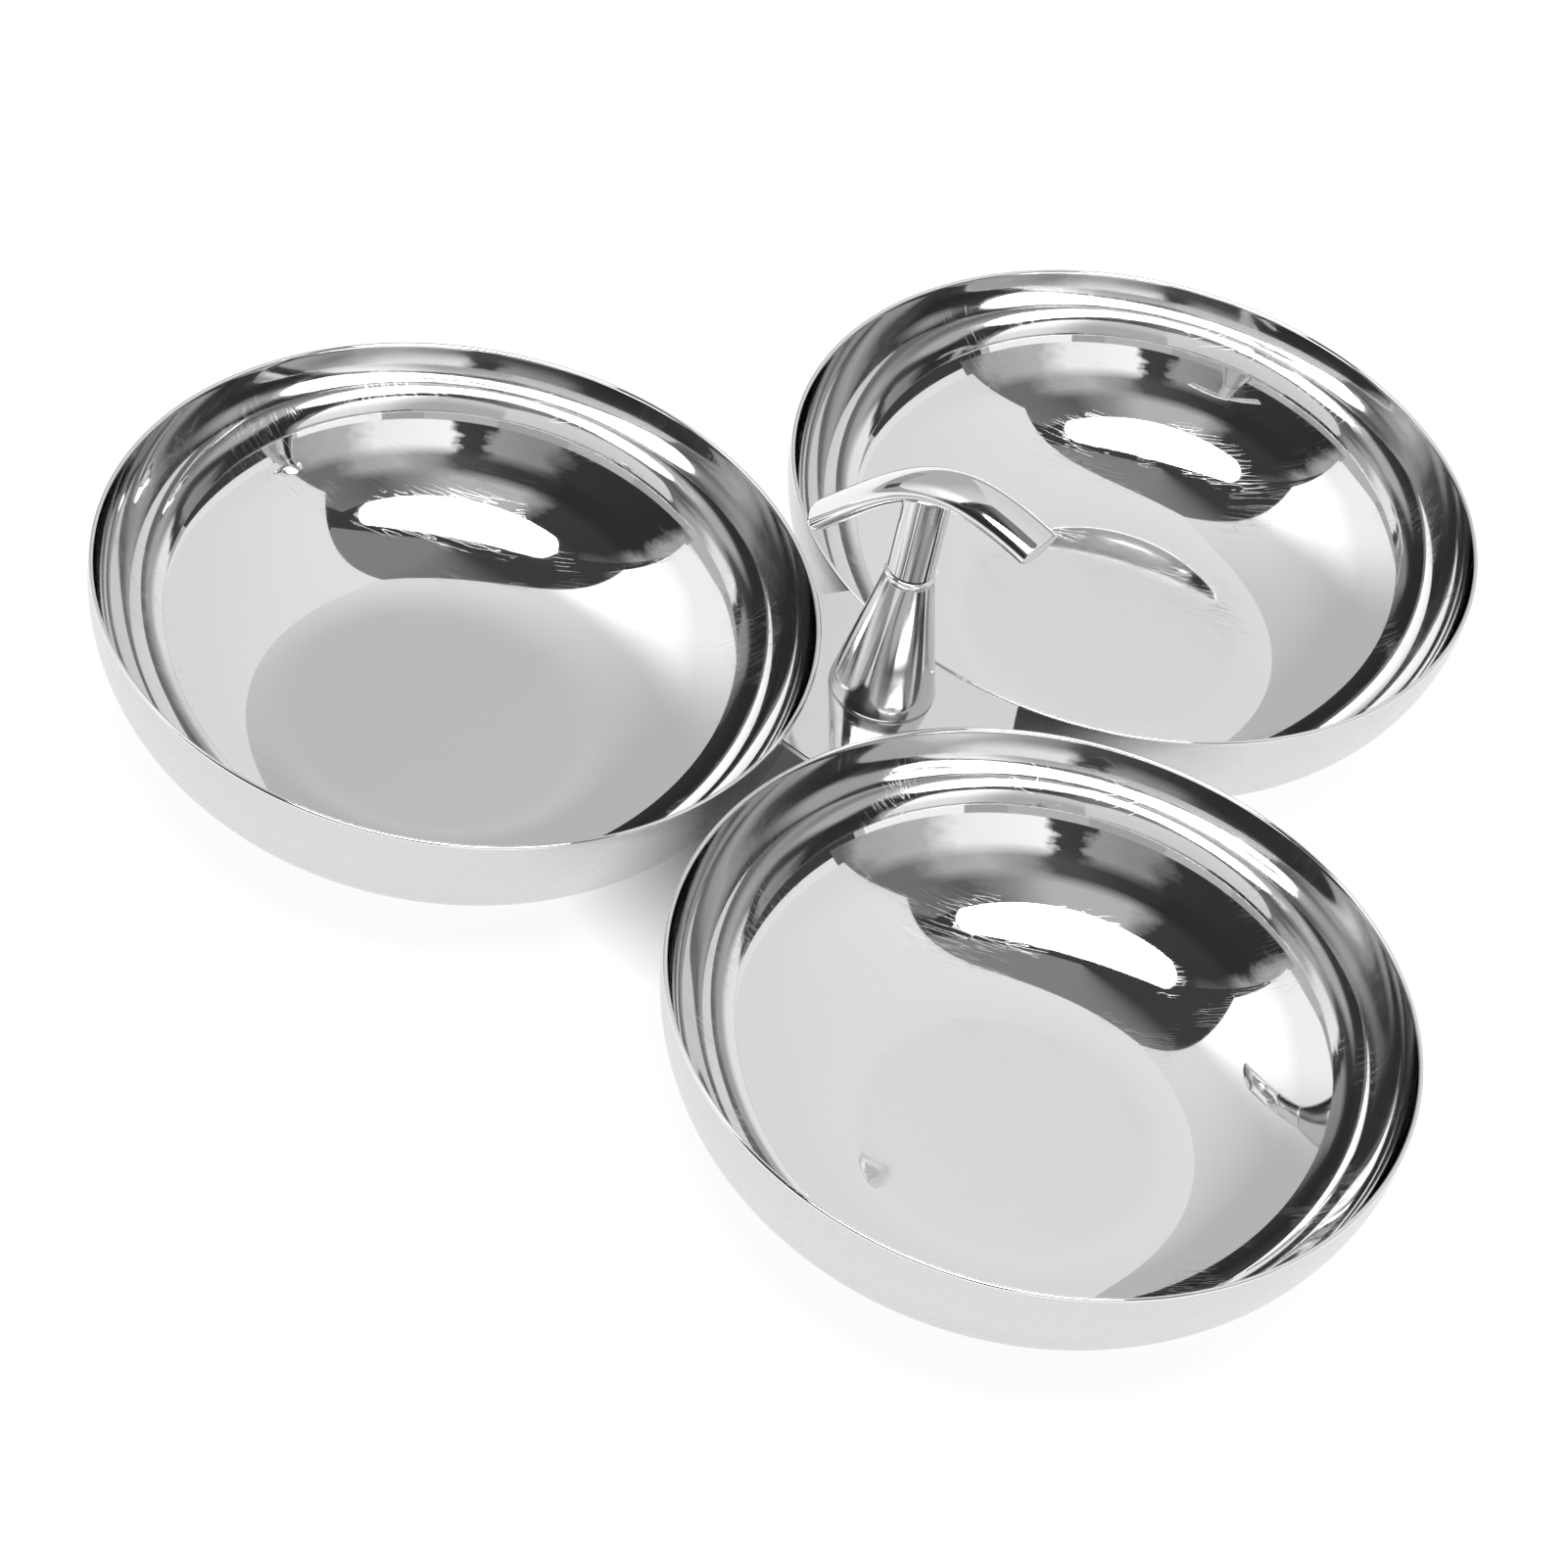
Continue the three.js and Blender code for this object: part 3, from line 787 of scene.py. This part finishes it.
def card(name, corners, strength, turn_glow=None, low_glow=None):
    """A flat glowing card out of the camera's sight.

    turn_glow is (from, to, strength) and changes the glow with the direction from the dish, in degrees.
    low_glow is (low, high, share) and dims the card below the second height, down to a share of its glow.
    """
    board = studio_object(name, corners, [tuple(range(len(corners)))])
    board.visible_camera = False
    material = bpy.data.materials.new(name)
    material.use_nodes = True
    tree = material.node_tree
    tree.nodes.clear()
    glow = tree.nodes.new("ShaderNodeEmission")
    glow.inputs["Strength"].default_value = strength
    place = tree.nodes.new("ShaderNodeTexCoord")
    parts = tree.nodes.new("ShaderNodeSeparateXYZ")
    tree.links.new(place.outputs["Object"], parts.inputs[0])
    level = None
    if turn_glow:
        turn = tree.nodes.new("ShaderNodeMath")
        turn.operation = "ARCTAN2"
        tree.links.new(parts.outputs[1], turn.inputs[0])
        tree.links.new(parts.outputs[0], turn.inputs[1])
        size = tree.nodes.new("ShaderNodeMath")
        size.operation = "ABSOLUTE"
        tree.links.new(turn.outputs[0], size.inputs[0])
        ramp = tree.nodes.new("ShaderNodeMapRange")
        ramp.interpolation_type = "SMOOTHSTEP"
        tree.links.new(size.outputs[0], ramp.inputs[0])
        ramp.inputs[1].default_value = math.radians(turn_glow[0])
        ramp.inputs[2].default_value = math.radians(turn_glow[1])
        ramp.inputs[3].default_value = strength
        ramp.inputs[4].default_value = turn_glow[2]
        level = ramp.outputs[0]
    if low_glow:
        fall = tree.nodes.new("ShaderNodeMapRange")
        tree.links.new(parts.outputs[2], fall.inputs[0])
        fall.inputs[1].default_value = low_glow[0]
        fall.inputs[2].default_value = low_glow[1]
        fall.inputs[3].default_value = low_glow[2]
        fall.inputs[4].default_value = 1.0
        product = tree.nodes.new("ShaderNodeMath")
        product.operation = "MULTIPLY"
        tree.links.new(fall.outputs[0], product.inputs[0])
        product.inputs[1].default_value = strength
        if level:
            tree.links.new(level, product.inputs[1])
        level = product.outputs[0]
    if level:
        tree.links.new(level, glow.inputs["Strength"])
    output = tree.nodes.new("ShaderNodeOutputMaterial")
    tree.links.new(glow.outputs[0], output.inputs["Surface"])
    board.data.materials.append(material)


def toward(azimuth, from_top, distance):
    """A place seen from the dish at an azimuth and an angle from straight up, both in degrees."""
    turn = math.radians(azimuth)
    tilt = math.radians(from_top)
    flat = distance * math.sin(tilt)
    return (flat * math.cos(turn), flat * math.sin(turn), distance * math.cos(tilt))


# Two white boards that lean together behind the dish, and the dark ceiling above them.
BOARD_APEX = (0.0, 0.5, 1.0)
FOLD_FOOT = (0.0, 1.33, 0.28)
LEFT_CORNER = (-0.815, -0.196, 1.04)
RIGHT_CORNER = (0.79, -0.33, 1.04)
BOARD_DISTANCE = 1.38
# Each pair is an azimuth and an angle from straight up, along the foot of a board.
LEFT_FOOT = [(199, 72), (178, 75), (150, 76), (122, 76)]
RIGHT_FOOT = [(55, 74), (25, 71), (-18, 68)]
CEILING_HEIGHT = 1.7
CEILING_CORNERS = [(-3, -1.2), (3, -1.2), (3, 3), (-3, 3)]
PATCH_HEIGHT = 1.35
PATCH_CORNERS = [(-0.5, 0.02), (0.6, 0.02), (0.3, 1.2), (-0.3, 1.2)]

left_foot = [toward(azimuth, from_top, BOARD_DISTANCE) for azimuth, from_top in LEFT_FOOT]
right_foot = [toward(azimuth, from_top, BOARD_DISTANCE) for azimuth, from_top in RIGHT_FOOT]
left_board = [BOARD_APEX, LEFT_CORNER, *left_foot, FOLD_FOOT]
right_board = [BOARD_APEX, FOLD_FOOT, *right_foot, RIGHT_CORNER]
card("board_left", left_board, strength=0.79, turn_glow=(132, 168, 1.5), low_glow=(0.63, 0.95, 0.66))
card("board_right", right_board, strength=0.85, low_glow=(0.6, 0.95, 0.92))
card("ceiling_dark", [(x, y, CEILING_HEIGHT) for x, y in CEILING_CORNERS], strength=0.05)
patch = [(x, y, PATCH_HEIGHT) for x, y in PATCH_CORNERS]
card("ceiling_patch", patch, strength=0.24, turn_glow=(78, 132, 0.05))

# The soft light is an oval cut straight along its far side.
LIGHT_HEIGHT = 1.25
LIGHT_MIDDLE = (0.02, -0.35)
LIGHT_REACH = (0.52, 0.42)
LIGHT_FAR_EDGE = -0.06
LIGHT_SIDES = 64
LIGHT_STRENGTH = 7.0
light_corners = []
for turn in even_angles(LIGHT_SIDES):
    x = LIGHT_MIDDLE[0] + LIGHT_REACH[0] * math.cos(turn)
    y = LIGHT_MIDDLE[1] + LIGHT_REACH[1] * math.sin(turn)
    light_corners.append((x, min(y, LIGHT_FAR_EDGE), LIGHT_HEIGHT))
card("soft_light", light_corners, LIGHT_STRENGTH)

# The dim room behind the camera: a shell whose glow changes softly from side to side.
# Each list gives (azimuth, glow) for the shell's upper, middle or lower part.
ROOM_START = 198
ROOM_END = 344
ROOM_TOP = 27
ROOM_BOTTOM = 77
ROOM_RADIUS = 1.4
UPPER_GLOW = [
    (199, 0.1), (205, 0.04), (236, 0.05), (250, 0.5),
    (280, 0.5), (296, 0.3), (314, 0.12), (343, 0.2),
]
MIDDLE_GLOW = [
    (199, 0.35), (205, 0.03), (240, 0.03), (262, 0.06), (278, 0.09),
    (284, 0.26), (302, 0.5), (316, 0.42), (326, 0.18), (342, 0.18),
]
LOWER_GLOW = [
    (200, 0.4), (206, 0.03), (243, 0.04), (252, 0.26), (268, 0.34), (271, 0.05),
    (279, 0.06), (282, 1.05), (308, 0.95), (318, 0.5), (334, 0.42), (342, 0.15),
]
# The parts blend into each other between these angles from straight up.
LOWER_BLEND = (60, 53)
UPPER_BLEND = (46, 40)
SHELL_COLUMNS = 60
SHELL_ROWS = 12
WOBBLE_SCALE = 5.0
WOBBLE_TURN = 0.05

shell_corners = []
shell_faces = []
for row in range(SHELL_ROWS + 1):
    for column in range(SHELL_COLUMNS + 1):
        azimuth = ROOM_START + (ROOM_END - ROOM_START) * column / SHELL_COLUMNS
        from_top = ROOM_TOP + (ROOM_BOTTOM - ROOM_TOP) * row / SHELL_ROWS
        shell_corners.append(toward(azimuth, from_top, ROOM_RADIUS))
for row in range(SHELL_ROWS):
    for column in range(SHELL_COLUMNS):
        here = row * (SHELL_COLUMNS + 1) + column
        below = here + SHELL_COLUMNS + 1
        shell_faces.append((here, here + 1, below + 1, below))
shell = studio_object("room", shell_corners, shell_faces)
shell.visible_camera = False
room = Shader("room_glow", (0, 0, 0), 1.0, metallic=0.0)
room_parts = room.add("ShaderNodeSeparateXYZ", room.place)
turn = room.math("ARCTAN2", room_parts.outputs[1], room_parts.outputs[0])
from_start = room.math("ADD", turn, 2 * math.pi - math.radians(ROOM_START))
# Soft noise bends the edges between light and dark, as folds and furniture would.
wobble = room.noise(room.place, WOBBLE_SCALE, detail=3.0, roughness=0.6)
bent = room.math("ADD", from_start, room.spread(wobble, -WOBBLE_TURN, WOBBLE_TURN))
side_share = room.math("DIVIDE", bent, math.radians(ROOM_END - ROOM_START))


def glow_by_azimuth(stops):
    ramp = room.add("ShaderNodeValToRGB", side_share)
    elements = ramp.color_ramp.elements
    while len(elements) < len(stops):
        elements.new(0.5)
    for element, (azimuth, level) in zip(elements, stops):
        element.position = (azimuth - ROOM_START) / (ROOM_END - ROOM_START)
        element.color = (level, level, level, 1)
    return ramp.outputs["Color"]


def height_share(low, high):
    """Rises from 0 to 1 between two angles from straight up, low being nearer the floor."""
    at_low = ROOM_RADIUS * math.cos(math.radians(low))
    at_high = ROOM_RADIUS * math.cos(math.radians(high))
    return room.remap(room_parts.outputs[2], at_low, at_high)


lower = room.mix(height_share(*LOWER_BLEND), glow_by_azimuth(LOWER_GLOW), glow_by_azimuth(MIDDLE_GLOW))
room_light = room.mix(height_share(*UPPER_BLEND), lower, glow_by_azimuth(UPPER_GLOW))
room.surface.inputs["Specular IOR Level"].default_value = 0.0
room.surface.inputs["Emission Strength"].default_value = 1.0
room.fill(room.surface.inputs["Emission Color"], room_light)
shell.data.materials.append(room.material)


LOW_CARD_FOOT = 84


def low_card(name, start, end, top, distance, strength):
    """A card low in the room, between two azimuths, from one angle below straight up to near the floor."""
    corners = [toward(start, top, distance), toward(start, LOW_CARD_FOOT, distance)]
    corners += [toward(end, LOW_CARD_FOOT, distance), toward(end, top, distance)]
    card(name, corners, strength)


low_card("room_dark_edge", -24, 22, top=74, distance=1.5, strength=0.05)
low_card("room_dark_corner", 138, 154, top=76, distance=1.3, strength=0.08)
low_card("room_bright_corner", 305, 333, top=76, distance=1.5, strength=1.0)

# A low grey band closes the studio near the horizon, in cards of two alternating greys.
BAND_RADIUS = 2.2
BAND_FOOT = 0.001
BAND_HEIGHT = 0.62
BAND_CARDS = 16
BAND_GLOWS = (0.5, 0.4)
for step in range(BAND_CARDS):
    start = 2 * math.pi / BAND_CARDS * step
    end = start + 2 * math.pi / BAND_CARDS
    foot = []
    head = []
    for angle in (start, end):
        x = BAND_RADIUS * math.cos(angle)
        y = BAND_RADIUS * math.sin(angle)
        foot.append((x, y, BAND_FOOT))
        head.append((x, y, BAND_HEIGHT))
    card("horizon_band_%02d" % step, [*foot, *reversed(head)], BAND_GLOWS[step % 2])

# The floor glows, which keeps it plain, and its glow drops under the middle of the dish in a painted
# shadow.
FLOOR_REACH = 6
FLOOR_SHADE_INNER = 32 * MM
FLOOR_SHADE_OUTER = 72 * MM
FLOOR_GLOW_IN_PAINTED_SHADOW = 0.05
FLOOR_GLOW_OPEN = 0.85
floor_corners = [(-FLOOR_REACH, -FLOOR_REACH, 0), (FLOOR_REACH, -FLOOR_REACH, 0)]
floor_corners += [(FLOOR_REACH, FLOOR_REACH, 0), (-FLOOR_REACH, FLOOR_REACH, 0)]
floor = studio_object("floor", floor_corners, [(0, 1, 2, 3)])
floor_paint = Shader("pale_floor", (0.25, 0.25, 0.25), 0.9, metallic=0.0)
distance = floor_paint.length(floor_paint.vector("SUBTRACT", floor_paint.place, (*axis, 0)))
floor_paint.surface.inputs["Emission Color"].default_value = (1, 1, 1, 1)
# Painted shadow: the glow dims towards the post's axis, where the dish would shade the floor.
floor_glow_with_painted_shadow = floor_paint.remap(
    distance, FLOOR_SHADE_INNER, FLOOR_SHADE_OUTER, FLOOR_GLOW_IN_PAINTED_SHADOW, FLOOR_GLOW_OPEN
)
floor_paint.fill(floor_paint.surface.inputs["Emission Strength"], floor_glow_with_painted_shadow)
floor.data.materials.append(floor_paint.material)

world = bpy.data.worlds.new("studio")
bpy.context.scene.world = world
world.use_nodes = True
world.node_tree.nodes["Background"].inputs["Color"].default_value = (0.85, 0.85, 0.85, 1)

# The camera looks down on the dish from in front, a little rolled.
CAMERA_PLACE = (0.00799, -0.87073, 0.84196)
CAMERA_ELEVATION = math.radians(43.78)
CAMERA_ROLL = math.radians(13.45)
CAMERA_LENS = 124.83
CAMERA_SENSOR = 36
camera_data = bpy.data.cameras.new("camera")
camera = bpy.data.objects.new("camera", camera_data)
bpy.context.scene.collection.objects.link(camera)
bpy.context.scene.camera = camera
camera_data.sensor_width = CAMERA_SENSOR
camera_data.lens = CAMERA_LENS
camera.location = CAMERA_PLACE
camera.matrix_world = (
    Matrix.Translation(camera.location)
    @ Matrix.Rotation(math.pi / 2 - CAMERA_ELEVATION, 4, "X")
    @ Matrix.Rotation(CAMERA_ROLL, 4, "Z")
)
bpy.context.scene.view_settings.view_transform = "Standard"
